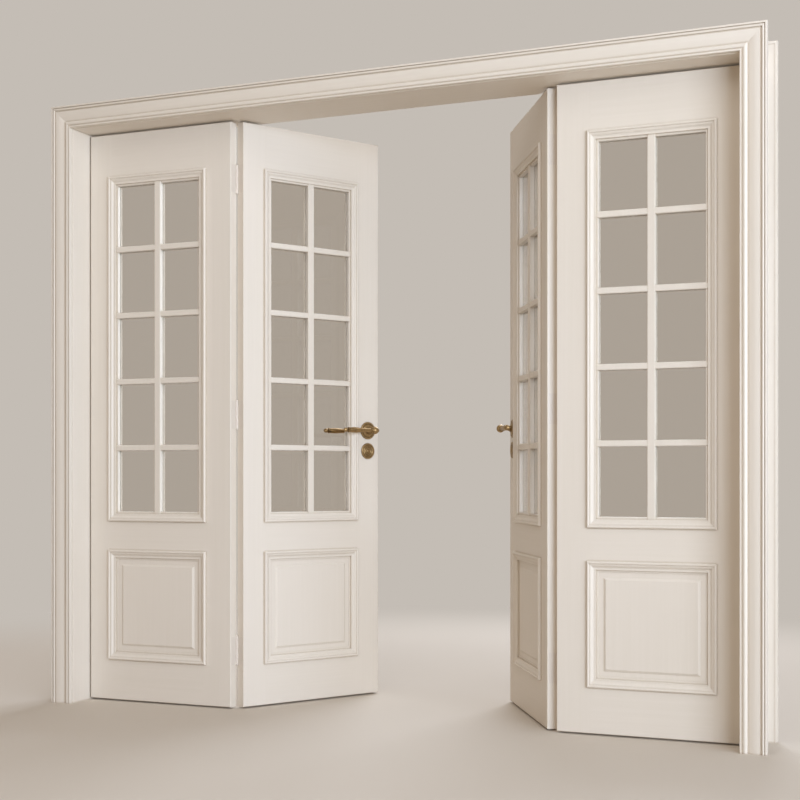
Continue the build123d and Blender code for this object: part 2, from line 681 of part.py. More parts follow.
def strike_plate():
    """Strike, flush with the meeting edge of the leaf."""
    half_y, half_z = FOREND_WIDTH / 2, STRIKE_HEIGHT / 2
    return block(LEAF_WIDTH - STRIKE_THICKNESS, LEAF_WIDTH, MID_LEAF - half_y,
                 MID_LEAF + half_y, HANDLE_HEIGHT - half_z, HANDLE_HEIGHT + half_z)


def placed(shapes, *moves):
    """Every solid of a node, moved by each step in turn."""
    for move in moves:
        shapes = [move * shape for shape in shapes]
    return shapes


def on_right(shapes):
    """The same pieces on the other side of the doorway."""
    return [mirror(shape, about=Plane.YZ) for shape in shapes]


def build_nodes():
    """Every node of the doors, by name, as a list of solids."""
    nodes = {}
    for side, board in lining().items():
        nodes[f"{side}_jamb" if side != "head" else "head_jamb"] = [board]
    for side, length in casing().items():
        nodes[f"front_casing_{side}"] = [length]
        nodes[f"back_casing_{side}"] = [mirror(length, about=Plane.XZ)]

    shut_outer = Pos(-HALF_OPENING + JAMB_GAP, LEAF_FRONT, FLOOR_GAP)
    shut_inner = Pos(-HALF_OPENING + JAMB_GAP + LEAF_WIDTH + FOLD_GAP, LEAF_FRONT, FLOOR_GAP)
    fold = Pos(*FOLD_PIN, 0) * Rot(0, 0, FOLD_ANGLE) * Pos(-FOLD_PIN[0], -FOLD_PIN[1], 0)

    outer = leaf(JAMB_MARGIN, OUTER_FOLD_MARGIN)
    jamb_stile = cut_pockets(outer.pop("near_stile")[0], leaf_plate(-JAMB_PIN_INSET),
                             JAMB_PIN_INSET, LEAF_THICKNESS + BARREL_RADIUS)
    near_pocket, far_pocket = fold_pocket(), mirror(fold_pocket(), about=Plane.YZ)
    fold_stile = cut_pockets(outer.pop("far_stile")[0], far_pocket,
                             LEAF_WIDTH + FOLD_GAP / 2, LEAF_THICKNESS)
    outer["jamb_stile"], outer["fold_stile"] = [jamb_stile], [fold_stile]
    for name, shapes in outer.items():
        nodes[f"left_outer_{name}"] = placed(shapes, shut_outer)
        nodes[f"right_outer_{name}"] = on_right(placed(shapes, shut_outer))

    inner = leaf(INNER_FOLD_MARGIN, MEETING_MARGIN)
    inner["fold_stile"] = [cut_pockets(inner.pop("near_stile")[0], near_pocket,
                                       -FOLD_GAP / 2, LEAF_THICKNESS)]
    meeting = inner.pop("far_stile")[0] - spindle_bore(SPINDLE_HOLE_RADIUS)
    for name, shapes in inner.items():
        nodes[f"left_inner_{name}"] = placed(shapes, shut_inner, fold)
        nodes[f"right_inner_{name}"] = on_right(placed(shapes, shut_inner, fold))
    locked = meeting - case_block(BOLT_CLEARANCE) - forend_block()
    struck = meeting - strike_plate() - strike_hole(STRIKE_POCKET)
    nodes["left_inner_meeting_stile"] = placed([locked], shut_inner, fold)
    nodes["right_inner_meeting_stile"] = on_right(placed([struck], shut_inner, fold))

    levers, plates = handle_set()
    fittings = {
        "left_lever_handles": levers + [follower_hub()],
        "left_roses_and_escutcheons": plates,
        "lock_case": [lock_case()],
        "latch_bolt": [latch_bolt()],
    }
    for name, shapes in fittings.items():
        nodes[name] = placed(shapes, shut_inner, fold)
    struck_plate = strike_plate() - strike_hole(STRIKE_THICKNESS)
    fittings = {
        "right_lever_handles": levers,
        "right_roses_and_escutcheons": plates,
        "strike_plate": [struck_plate],
    }
    for name, shapes in fittings.items():
        nodes[name] = on_right(placed(shapes, shut_inner, fold))

    on_jamb, on_leaf = jamb_hinges()
    on_outer, on_inner = fold_hinges()
    hinges = {
        "jamb_hinge_plates_and_pins": on_jamb,
        "jamb_hinge_leaf_plates": on_leaf,
        "fold_hinge_plates_and_pins": on_outer,
        "fold_hinge_leaf_plates": placed(on_inner, fold),
    }
    for name, shapes in hinges.items():
        nodes[f"left_{name}"] = shapes
        nodes[f"right_{name}"] = on_right(shapes)
    return nodes


os.makedirs("parts", exist_ok=True)
for node, shapes in build_nodes().items():
    solids = [solid for shape in shapes for solid in shape.solids()]
    export_step(Compound(solids) if len(solids) > 1 else solids[0], f"parts/{node}.step")
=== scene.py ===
"""French doors: four glazed leaves, folding in pairs, in a deep lining with a moulded casing."""

import logging
import math
from collections.abc import Iterable
from dataclasses import dataclass
from enum import Enum
from typing import Any, Optional

import bmesh
import bpy
from mathutils import Matrix, Vector


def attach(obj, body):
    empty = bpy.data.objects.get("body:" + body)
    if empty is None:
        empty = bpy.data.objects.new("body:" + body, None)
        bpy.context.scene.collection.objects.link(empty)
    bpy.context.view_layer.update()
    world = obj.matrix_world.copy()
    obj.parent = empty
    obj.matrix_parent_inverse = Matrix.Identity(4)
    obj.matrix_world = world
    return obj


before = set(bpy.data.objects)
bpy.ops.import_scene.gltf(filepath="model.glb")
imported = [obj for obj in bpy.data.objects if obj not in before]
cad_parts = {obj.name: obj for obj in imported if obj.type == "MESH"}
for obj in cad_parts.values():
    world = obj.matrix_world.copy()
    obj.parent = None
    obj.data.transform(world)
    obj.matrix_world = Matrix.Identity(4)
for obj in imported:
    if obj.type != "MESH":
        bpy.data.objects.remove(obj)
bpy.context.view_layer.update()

LOG = logging.getLogger("french_doors")
MM = 0.001
UP = Vector((0, 0, 1))
NODES: dict[str, bpy.types.Object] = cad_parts
# Sockets of a Mix node that works on colours, which share their names with its other sockets.
FIRST_COLOUR, SECOND_COLOUR, MIXED_COLOUR = 6, 7, 2
# Most values of a noise pattern lie between these two.
NOISE_LOW, NOISE_HIGH = 0.3, 0.7
# Rays that look for a corner or a groove round each point of a surface.
CORNER_RAYS = 6

Point = tuple[float, float, float]
Pair = tuple[float, float]


# Node trees -----------------------------------------------------------------------------------

def linear(colour: str) -> tuple[float, float, float, float]:
    """Turn an sRGB hex value into linear red, green, blue and a full alpha.

    Args:
        colour: six hex digits, with or without a leading #.

    Returns:
        The linear colour as four floats.
    """
    digits = colour.lstrip("#")
    parts = [int(digits[i:i + 2], 16) / 255 for i in (0, 2, 4)]
    light = [p / 12.92 if p <= 0.04045 else ((p + 0.055) / 1.055) ** 2.4 for p in parts]
    return (light[0], light[1], light[2], 1.0)


def repeats(size_mm: float) -> float:
    """Return how often a pattern of this size in millimetres fits in a metre."""
    return 1.0 / (size_mm * MM)


def add(
    tree: bpy.types.NodeTree,
    kind: str,
    values: Optional[dict[Any, Any]] = None,
    links: Optional[dict[Any, bpy.types.NodeSocket]] = None,
    **settings: Any,
) -> bpy.types.Node:
    """Add one node with its settings, its input values and the links into it.

    Args:
        tree: node tree that gets the node.
        kind: Blender's type name of the node.
        values: input values by socket name or number.
        links: output sockets to link, by the name or number of the input they go to.
        **settings: attributes of the node.

    Returns:
        The new node.
    """
    node = tree.nodes.new(kind)
    for name, value in settings.items():
        setattr(node, name, value)
    for socket, value in (values or {}).items():
        node.inputs[socket].default_value = value
    for socket, source in (links or {}).items():
        tree.links.new(source, node.inputs[socket])
    return node


# Named choices --------------------------------------------------------------------------------

class Side(Enum):
    """Pair of leaves that a piece belongs to, as it is named in the frame."""

    LEFT = "left"
    RIGHT = "right"

    @property
    def sign(self) -> float:
        """Return -1 on the left and 1 on the right."""
        return -1.0 if self is Side.LEFT else 1.0


class Position(Enum):
    """Leaf of a pair: the one on the jamb, or the one that folds on it."""

    OUTER = "outer"
    INNER = "inner"


class Line(Enum):
    """Line of hinges: jamb to outer leaf, or outer leaf to inner leaf."""

    JAMB = "jamb_hinge"
    FOLD = "fold_hinge"


class Grain(Enum):
    """Way that a member's wood runs: upright, or level at this many degrees to the wall."""

    UPRIGHT = None
    ALONG_WALL = 0.0
    LEFT_INNER = 60.0
    RIGHT_INNER = -60.0


# Finishes -------------------------------------------------------------------------------------

@dataclass(frozen=True)
class Finish:
    """What every finish shares: a name and a fresh material with its surface shader."""

    name: str

    def material(self) -> bpy.types.Material:
        """Return the material, made on its first use."""
        found = bpy.data.materials.get(self.name)
        return found or self.make()

    def make(self) -> bpy.types.Material:
        """Return a new material; each kind of finish makes it in its own way."""
        raise NotImplementedError

    def start(
        self, **values: Any
    ) -> tuple[bpy.types.Material, bpy.types.NodeTree, bpy.types.Node]:
        """Start a material with one Principled shader.

        Args:
            **values: input values of the shader, by socket name with _ for a space.

        Returns:
            The material, its node tree and the shader.
        """
        material = bpy.data.materials.new(self.name)
        material.use_nodes = True
        tree = material.node_tree
        shader = next(node for node in tree.nodes if node.type == "BSDF_PRINCIPLED")
        for socket, value in values.items():
            shader.inputs[socket.replace("_", " ")].default_value = value
        return material, tree, shader


@dataclass(frozen=True)
class SatinLacquer(Finish):
    """Cream satin lacquer, sprayed on primed timber and flatted by hand.

    It gives the eye an even warm white with a broad soft sheen. The spray leaves a very slight
    orange peel, and the wood's grain telegraphs through as faint streaks along each member.
    """

    colour: str = "#EAE2D7"
    shade: str = "#E7DFD3"
    # painted shade: the darker, warmer tone laid into quirks and corners, where light falls off
    painted_corner_shade: str = "#C6B8A5"
    grain: Grain = Grain.UPRIGHT
    ior: float = 1.5
    roughness: float = 0.42
    glossier: float = 0.02      # how far the roughness falls from streak to streak
    duller: float = 0.03        # how far it rises
    peel_mm: float = 5.0        # real orange peel is 1 to 2 mm, too fine to show
    peel_depth_mm: float = 0.15
    peel_strength: float = 0.12
    streak_mm: float = 9.0      # real grain is 1 to 3 mm wide, drawn coarser for the same reason
    streak_length_mm: float = 420.0
    streak_depth_mm: float = 0.2
    streak_strength: float = 0.02
    drift_mm: float = 700.0     # slow change of tone between coats
    tones: Pair = (0.12, 0.38)      # values of the pattern, from colour to shade
    shade_reach_mm: float = 7.0       # reach of the painted shade that darkens quirks and corners
    quirks: Pair = (0.35, 0.95)     # openness, from full painted corner shade to the face's tone

    def make(self) -> bpy.types.Material:
        """Make the material.

        Returns:
            The new material.
        """
        material, tree, shader = self.start(Roughness=self.roughness, IOR=self.ior)
        place = add(tree, "ShaderNodeTexCoord").outputs["Object"]
        streaks = self.streaks(tree, place)
        gloss = add(
            tree, "ShaderNodeMapRange",
            {"From Min": NOISE_LOW, "From Max": NOISE_HIGH,
             "To Min": self.roughness - self.glossier, "To Max": self.roughness + self.duller},
            {"Value": streaks},
        )
        tree.links.new(self.tone(tree, place, streaks), shader.inputs["Base Color"])
        tree.links.new(gloss.outputs["Result"], shader.inputs["Roughness"])
        tree.links.new(self.surface(tree, place, streaks), shader.inputs["Normal"])
        return material

    def streaks(
        self, tree: bpy.types.NodeTree, place: bpy.types.NodeSocket
    ) -> bpy.types.NodeSocket:
        """Add the streaks that the wood's grain leaves along a member.

        Args:
            tree: node tree that gets the nodes.
            place: socket with the place on the object.

        Returns:
            The socket with the pattern.
        """
        level_turn = self.grain.value or 0.0
        turned = add(
            tree, "ShaderNodeMapping", {"Rotation": (0.0, 0.0, math.radians(-level_turn))},
            {"Vector": place},
        )
        fine, long = repeats(self.streak_mm), repeats(self.streak_length_mm)
        scale = (fine, fine, long) if self.grain is Grain.UPRIGHT else (long, fine, fine)
        stretched = add(
            tree, "ShaderNodeMapping", {"Scale": scale}, {"Vector": turned.outputs["Vector"]}
        )
        return add(
            tree, "ShaderNodeTexNoise", {"Scale": 1.0, "Detail": 3.0, "Roughness": 0.6},
            {"Vector": stretched.outputs["Vector"]},
        ).outputs["Fac"]

    def tone(
        self, tree: bpy.types.NodeTree, place: bpy.types.NodeSocket,
        streaks: bpy.types.NodeSocket,
    ) -> bpy.types.NodeSocket:
        """Add the paint's tone, a little uneven, with painted shade that darkens it in quirks and
        corners.

        Args:
            tree: node tree that gets the nodes.
            place: socket with the place on the object.
            streaks: socket with the pattern of streaks.

        Returns:
            The socket with the colour.
        """
        drift = add(
            tree, "ShaderNodeTexNoise", {"Scale": repeats(self.drift_mm), "Detail": 2.0},
            {"Vector": place},
        )
        uneven = add(
            tree, "ShaderNodeMath", None, {0: drift.outputs["Fac"], 1: streaks},
            operation="MULTIPLY",
        )
        spread = add(
            tree, "ShaderNodeMapRange", {"From Min": self.tones[0], "From Max": self.tones[1]},
            {"Value": uneven.outputs["Value"]}, clamp=True,
        )
        face = add(
            tree, "ShaderNodeMix",
            {FIRST_COLOUR: linear(self.colour), SECOND_COLOUR: linear(self.shade)},
            {"Factor": spread.outputs["Result"]}, data_type="RGBA",
        )
        # Painted shade: where nearby surfaces close round a point, its colour turns towards the
        # darker corner tone.
        corner = add(
            tree, "ShaderNodeAmbientOcclusion", {"Distance": self.shade_reach_mm * MM},
            samples=CORNER_RAYS,
        )
        reach = add(
            tree, "ShaderNodeMapRange",
            {"From Min": self.quirks[0], "From Max": self.quirks[1], "To Min": 1.0,
             "To Max": 0.0},
            {"Value": corner.outputs["AO"]}, clamp=True,
        )
        return add(
            tree, "ShaderNodeMix", {SECOND_COLOUR: linear(self.painted_corner_shade)},
            {"Factor": reach.outputs["Result"], FIRST_COLOUR: face.outputs[MIXED_COLOUR]},
            data_type="RGBA",
        ).outputs[MIXED_COLOUR]

    def surface(
        self, tree: bpy.types.NodeTree, place: bpy.types.NodeSocket,
        streaks: bpy.types.NodeSocket,
    ) -> bpy.types.NodeSocket:
        """Add the orange peel, with the streaks standing out of it.

        Args:
            tree: node tree that gets the nodes.
            place: socket with the place on the object.
            streaks: socket with the pattern of streaks.

        Returns:
            The socket with the surface's direction.
        """
        peel = add(
            tree, "ShaderNodeTexNoise", {"Scale": repeats(self.peel_mm), "Detail": 1.0},
            {"Vector": place},
        )
        skin = add(
            tree, "ShaderNodeBump",
            {"Strength": self.peel_strength, "Distance": self.peel_depth_mm * MM},
            {"Height": peel.outputs["Fac"]},
        )
        return add(
            tree, "ShaderNodeBump",
            {"Strength": self.streak_strength, "Distance": self.streak_depth_mm * MM},
            {"Height": streaks, "Normal": skin.outputs["Normal"]},
        ).outputs["Normal"]


@dataclass(frozen=True)
class PaintedSteel(Finish):
    """Pressed steel hinge plates, primed and brushed with the same cream as the joinery.

    The coat is thicker and a little glossier than on the wood, and softens every edge.
    """

    colour: str = "#E9E2D9"
    shade: str = "#DED4C8"
    ior: float = 1.5
    roughness: float = 0.36
    stroke_mm: float = 2.5      # bristle marks are under 1 mm, too fine to show
    stroke_depth_mm: float = 0.1
    stroke_strength: float = 0.2

    def make(self) -> bpy.types.Material:
        """Make the material.

        Returns:
            The new material.
        """
        material, tree, shader = self.start(Roughness=self.roughness, IOR=self.ior)
        place = add(tree, "ShaderNodeTexCoord").outputs["Object"]
        strokes = add(
            tree, "ShaderNodeTexNoise", {"Scale": repeats(self.stroke_mm), "Detail": 2.0},
            {"Vector": place},
        )
        tone = add(
            tree, "ShaderNodeMix",
            {FIRST_COLOUR: linear(self.colour), SECOND_COLOUR: linear(self.shade)},
            {"Factor": strokes.outputs["Fac"]}, data_type="RGBA",
        )
        coat = add(
            tree, "ShaderNodeBump",
            {"Strength": self.stroke_strength, "Distance": self.stroke_depth_mm * MM},
            {"Height": strokes.outputs["Fac"]},
        )
        tree.links.new(tone.outputs[MIXED_COLOUR], shader.inputs["Base Color"])
        tree.links.new(coat.outputs["Normal"], shader.inputs["Normal"])
        return material


@dataclass(frozen=True)
class FloatGlass(Finish):
    """Clear float glass, 4 mm, cut and bedded.

    Fire-polished on both faces, so reflections are sharp. The iron in it takes a little light
    and leaves a faint grey-brown cast next to the pale paint.
    """

    colour: str = "#DDD8D1"
    ior: float = 1.52
    clean: float = 0.0          # roughness of the polished face
    smeared: float = 0.03       # roughness of the worst smear
    smear_mm: float = 60.0      # width of the smears that a cloth leaves
    smears: Pair = (0.5, 0.9)       # values of the pattern, from clean to smeared

    def make(self) -> bpy.types.Material:
        """Make the material.

        Returns:
            The new material.
        """
        material, tree, shader = self.start(
            Base_Color=linear(self.colour), IOR=self.ior, Transmission_Weight=1.0,
            Roughness=self.clean,
        )
        place = add(tree, "ShaderNodeTexCoord").outputs["Object"]
        smears = add(
            tree, "ShaderNodeTexNoise", {"Scale": repeats(self.smear_mm), "Detail": 3.0},
            {"Vector": place},
        )
        film = add(
            tree, "ShaderNodeMapRange",
            {"From Min": self.smears[0], "From Max": self.smears[1], "To Min": self.clean,
             "To Max": self.smeared},
            {"Value": smears.outputs["Fac"]}, clamp=True,
        )
        tree.links.new(film.outputs["Result"], shader.inputs["Roughness"])
        return material


@dataclass(frozen=True)
class AntiqueBrass(Finish):
    """Turned brass, darkened in a bath, relieved on the high parts and waxed.

    High rounds stay a dull gold, while the grooves between the rings keep the brown patina.
    """

    colour: str = "#B4966A"
    patina: str = "#3A2A18"
    roughness: float = 0.42
    glossier: float = 0.04      # how far the roughness falls where the metal is relieved
    duller: float = 0.1         # how far it rises under the patina
    mottle_mm: float = 9.0      # size of the patches of patina
    mottles: Pair = (0.4, 0.75)     # values of the pattern, from bare metal to patch
    patch_cover: float = 0.55       # how much of the metal a patch hides
    groove_mm: float = 6.0      # reach of the patina that stays in grooves
    grooves: Pair = (0.5, 0.95)     # openness, from patina to bare metal
    turning_mm: float = 0.9     # lathe marks are about 0.1 mm apart, too fine to show
    turning_depth_mm: float = 0.05
    turning_strength: float = 0.15

    def make(self) -> bpy.types.Material:
        """Make the material.

        Returns:
            The new material.
        """
        material, tree, shader = self.start(Metallic=1.0, Roughness=self.roughness)
        place = add(tree, "ShaderNodeTexCoord").outputs["Object"]
        cover = self.cover(tree, place)
        tone = add(
            tree, "ShaderNodeMix",
            {FIRST_COLOUR: linear(self.colour), SECOND_COLOUR: linear(self.patina)},
            {"Factor": cover}, data_type="RGBA",
        )
        gloss = add(
            tree, "ShaderNodeMapRange",
            {"To Min": self.roughness - self.glossier, "To Max": self.roughness + self.duller},
            {"Value": cover},
        )
        marks = add(
            tree, "ShaderNodeTexNoise", {"Scale": repeats(self.turning_mm), "Detail": 2.0},
            {"Vector": place},
        )
        surface = add(
            tree, "ShaderNodeBump",
            {"Strength": self.turning_strength, "Distance": self.turning_depth_mm * MM},
            {"Height": marks.outputs["Fac"]},
        )
        tree.links.new(tone.outputs[MIXED_COLOUR], shader.inputs["Base Color"])
        tree.links.new(gloss.outputs["Result"], shader.inputs["Roughness"])
        tree.links.new(surface.outputs["Normal"], shader.inputs["Normal"])
        return material

    def cover(
        self, tree: bpy.types.NodeTree, place: bpy.types.NodeSocket
    ) -> bpy.types.NodeSocket:
        """Add the patina that the relieving left, in grooves and as patches.

        Args:
            tree: node tree that gets the nodes.
            place: socket with the place on the object.

        Returns:
            A socket that is 0 on bare metal and 1 under full patina.
        """
        mottle = add(
            tree, "ShaderNodeTexNoise",
            {"Scale": repeats(self.mottle_mm), "Detail": 4.0, "Roughness": 0.6},
            {"Vector": place},
        )
        patches = add(
            tree, "ShaderNodeMapRange",
            {"From Min": self.mottles[0], "From Max": self.mottles[1], "To Min": 0.0,
             "To Max": self.patch_cover},
            {"Value": mottle.outputs["Fac"]}, clamp=True,
        )
        groove = add(
            tree, "ShaderNodeAmbientOcclusion", {"Distance": self.groove_mm * MM},
            samples=CORNER_RAYS,
        )
        kept = add(
            tree, "ShaderNodeMapRange",
            {"From Min": self.grooves[0], "From Max": self.grooves[1], "To Min": 1.0,
             "To Max": 0.0},
            {"Value": groove.outputs["AO"]}, clamp=True,
        )
        return add(
            tree, "ShaderNodeMath", None,
            {0: kept.outputs["Result"], 1: patches.outputs["Result"]}, operation="MAXIMUM",
        ).outputs["Value"]


@dataclass(frozen=True)
class BrushedSteel(Finish):
    """Lock case, forend and strike in nickel-plated steel, brushed along their length."""

    colour: str = "#B9B5AD"
    roughness: float = 0.34
    glossier: float = 0.06      # how far the roughness falls from line to line
    duller: float = 0.08        # how far it rises
    line_mm: float = 0.6        # real brush lines are 0.1 mm, too fine to show
    line_length_mm: float = 60.0
    line_depth_mm: float = 0.03
    line_strength: float = 0.2

    def make(self) -> bpy.types.Material:
        """Make the material.

        Returns:
            The new material.
        """
        material, tree, shader = self.start(
            Base_Color=linear(self.colour), Metallic=1.0, Roughness=self.roughness
        )
        place = add(tree, "ShaderNodeTexCoord").outputs["Object"]
        fine, long = repeats(self.line_mm), repeats(self.line_length_mm)
        stretched = add(
            tree, "ShaderNodeMapping", {"Scale": (fine, fine, long)}, {"Vector": place}
        )
        lines = add(
            tree, "ShaderNodeTexNoise", {"Scale": 1.0, "Detail": 2.0},
            {"Vector": stretched.outputs["Vector"]},
        )
        gloss = add(
            tree, "ShaderNodeMapRange",
            {"From Min": NOISE_LOW, "From Max": NOISE_HIGH,
             "To Min": self.roughness - self.glossier, "To Max": self.roughness + self.duller},
            {"Value": lines.outputs["Fac"]},
        )
        brushed = add(
            tree, "ShaderNodeBump",
            {"Strength": self.line_strength, "Distance": self.line_depth_mm * MM},
            {"Height": lines.outputs["Fac"]},
        )
        tree.links.new(gloss.outputs["Result"], shader.inputs["Roughness"])
        tree.links.new(brushed.outputs["Normal"], shader.inputs["Normal"])
        return material


FRAME_UPRIGHT = SatinLacquer("lacquer_on_jambs_and_legs")
FRAME_ACROSS = SatinLacquer("lacquer_on_heads", grain=Grain.ALONG_WALL)
STILE = SatinLacquer("lacquer_on_stiles")
RAIL = {
    Grain.ALONG_WALL: SatinLacquer("lacquer_on_outer_rails", grain=Grain.ALONG_WALL),
    Grain.LEFT_INNER: SatinLacquer("lacquer_on_left_inner_rails", grain=Grain.LEFT_INNER),
    Grain.RIGHT_INNER: SatinLacquer("lacquer_on_right_inner_rails", grain=Grain.RIGHT_INNER),
}
HINGE_COAT = PaintedSteel("brushed_paint_on_steel_hinges")
GLASS = FloatGlass("clear_float_glass")
BRASS = AntiqueBrass("waxed_antique_brass")
STEEL = BrushedSteel("brushed_nickel_plated_steel")


def dress(names: Iterable[str], finish: Finish) -> None:
    """Put one finish on the frame's own pieces.

    Args:
        names: names of the pieces.
        finish: finish that they get.
    """
    for name in names:
        materials = NODES[name].data.materials
        materials.clear()
        materials.append(finish.material())


# Places on a leaf -----------------------------------------------------------------------------

@dataclass(frozen=True)
class LeafPlace:
    """Where a leaf stands: turns its own width, depth and height into the scene's metres.

    Width runs from the edge at the hinge that carries the leaf, depth from its front face to
    the back, and height from its bottom edge.
    """

    side: Side
    position: Position
    width: float = 600.0
    outer_edge: float = 1205.0  # middle of the doorway to the edge at the jamb
    front: float = 4.0          # middle of the wall to the face of a shut leaf
    bottom: float = 6.0         # floor to the bottom edge
    fold_pin: Pair = (603.5, 46.0)      # from the middle of the doorway and of the wall
    fold_angle: float = 60.0
    edge_to_pin: Pair = (1.5, 42.0)     # corner of the leaf to the fold's pin

    @property
    def body(self) -> str:
        """Return the name of the leaf's body in the frame."""
        return f"{self.side.value}_{self.position.value}_leaf"

    def point(self, width: float, depth: float, height: float) -> Vector:
        """Return the scene's point for a place on the leaf, all in millimetres.

        Args:
            width: from the edge that is hinged.
            depth: from the front face.
            height: from the bottom edge.

        Returns:
            The point in metres.
        """
        if self.position is Position.INNER:
            turn = math.radians(self.fold_angle)
            along, back = width + self.edge_to_pin[0], depth - self.edge_to_pin[1]
            inward = -self.fold_pin[0] + along * math.cos(turn) - back * math.sin(turn)
            y = self.fold_pin[1] + along * math.sin(turn) + back * math.cos(turn)
        else:
            inward, y = -self.outer_edge + width, self.front + depth
        return Vector((-self.side.sign * inward, y, self.bottom + height)) * MM

    def axis(self, width: float, depth: float, height: float) -> Vector:
        """Return the scene's direction for a direction on the leaf."""
        return (self.point(width, depth, height) - self.point(0, 0, 0)).normalized()


# Screws ---------------------------------------------------------------------------------------

@dataclass(frozen=True)
class SlottedScrew:
    """Countersunk wood screw with a straight slot, its head a hair proud of the plate."""

    radius: float = 3.4
    proud: float = 0.3
    rim: float = 0.45           # width of the rounded edge of the head
    rim_start: float = 0.4      # where that edge begins, as a share of proud
    slot: float = 1.0
    slot_depth: float = 0.55
    slot_reach: float = 0.99    # end of the slot's floor, as a share of the radius
    steps: int = 10

    def add_to(
        self, mesh: bmesh.types.BMesh, centre: Vector, outward: Vector, along: Vector
    ) -> None:
        """Add one head to a mesh.

        Args:
            mesh: mesh that gets the head.
            centre: middle of the head on the plate's face, in metres.
            outward: direction away from the plate.
            along: direction of the slot.
        """
        across = outward.cross(along).normalized()
        for flip in (1.0, -1.0):
            self.add_half(mesh, centre, outward, along * flip, across * flip)
        reach, half_slot = self.slot_reach * self.radius, self.slot / 2
        floor = [
            along * (u * reach) + across * (v * half_slot) - outward * self.slot_depth
            for u, v in ((-1, -1), (1, -1), (1, 1), (-1, 1))
        ]
        mesh.faces.new([mesh.verts.new(centre + corner * MM) for corner in floor])

    def add_half(
        self, mesh: bmesh.types.BMesh, centre: Vector, outward: Vector, along: Vector,
        across: Vector,
    ) -> None:
        """Add the half of a head that lies on one side of the slot.

        Args:
            mesh: mesh that gets the half.
            centre: middle of the head on the plate's face, in metres.
            outward: direction away from the plate.
            along: direction of the slot.
            across: direction from the slot to this half.
        """
        half_slot = self.slot / 2
        first = math.asin(half_slot / self.radius)
        sweep = math.pi - 2 * first
        levels = (
            (self.radius, -self.slot_depth),
            (self.radius, self.proud * self.rim_start),
            (self.radius - self.rim, self.proud),
        )
        rings = []
        for radius, height in levels:
            ring = []
            for i in range(self.steps + 1):
                angle = first + sweep * i / self.steps
                u, v = radius * math.cos(angle), max(radius * math.sin(angle), half_slot)
                offset = along * u + across * v + outward * height
                ring.append(mesh.verts.new(centre + offset * MM))
            rings.append(ring)
        for low, high in zip(rings, rings[1:]):
            for i in range(self.steps):
                mesh.faces.new((low[i], low[i + 1], high[i + 1], high[i]))
            mesh.faces.new((low[-1], low[0], high[0], high[-1]))
        mesh.faces.new(rings[-1])


def new_piece(
    name: str, mesh: bmesh.types.BMesh, finish: Finish, body: str
) -> bpy.types.Object:
    """Turn a bmesh into a piece that rides on a body.

    Args:
        name: name of the piece.
        mesh: its geometry in metres, freed here.
        finish: finish that it gets.
        body: body that it rides on.

    Returns:
        The new object.
    """
    data = bpy.data.meshes.new(name)
    mesh.to_mesh(data)
    mesh.free()
    data.materials.append(finish.material())
    piece = bpy.data.objects.new(name, data)
    bpy.context.scene.collection.objects.link(piece)
    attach(piece, body)
    return piece


# Sub-assemblies -------------------------------------------------------------------------------

@dataclass(frozen=True)
class Lining:
    """Jambs and head through the wall's thickness, with a casing on each face."""

    uprights: tuple[str, ...] = (
        "left_jamb", "right_jamb", "front_casing_left", "front_casing_right",
        "back_casing_left", "back_casing_right",
    )
    heads: tuple[str, ...] = ("head_jamb", "front_casing_head", "back_casing_head")

    def build(self) -> None:
        """Dress the jambs, the heads and both casings."""
        dress(self.uprights, FRAME_UPRIGHT)
        dress(self.heads, FRAME_ACROSS)
        LOG.info(
            "lining: %d uprights and %d heads in satin lacquer", len(self.uprights),
            len(self.heads),
        )


@dataclass(frozen=True)
class Leaf:
    """One leaf: stiles, rails, panel, glazing and mouldings."""

    side: Side
    position: Position
    across: Grain

    def build(self) -> None:
        """Dress the woodwork along each member's grain, and the panes."""
        prefix = f"{self.side.value}_{self.position.value}"
        free_edge = "jamb_stile" if self.position is Position.OUTER else "meeting_stile"
        upright = ("fold_stile", free_edge, "raised_panel", "mouldings", "glazing_bars")
        crossing = ("bottom_rail", "lock_rail", "top_rail")
        dress([f"{prefix}_{member}" for member in upright], STILE)
        dress([f"{prefix}_{member}" for member in crossing], RAIL[self.across])
        self.glaze(f"{prefix}_glass_panes")
        LOG.info("%s leaf: woodwork lacquered and ten panes glazed", prefix)

    def glaze(self, name: str) -> None:
        """Dress the panes, and let light through them as clear glass does.

        Args:
            name: name of the frame's piece with the ten panes.
        """
        dress([name], GLASS)
        NODES[name].visible_shadow = False


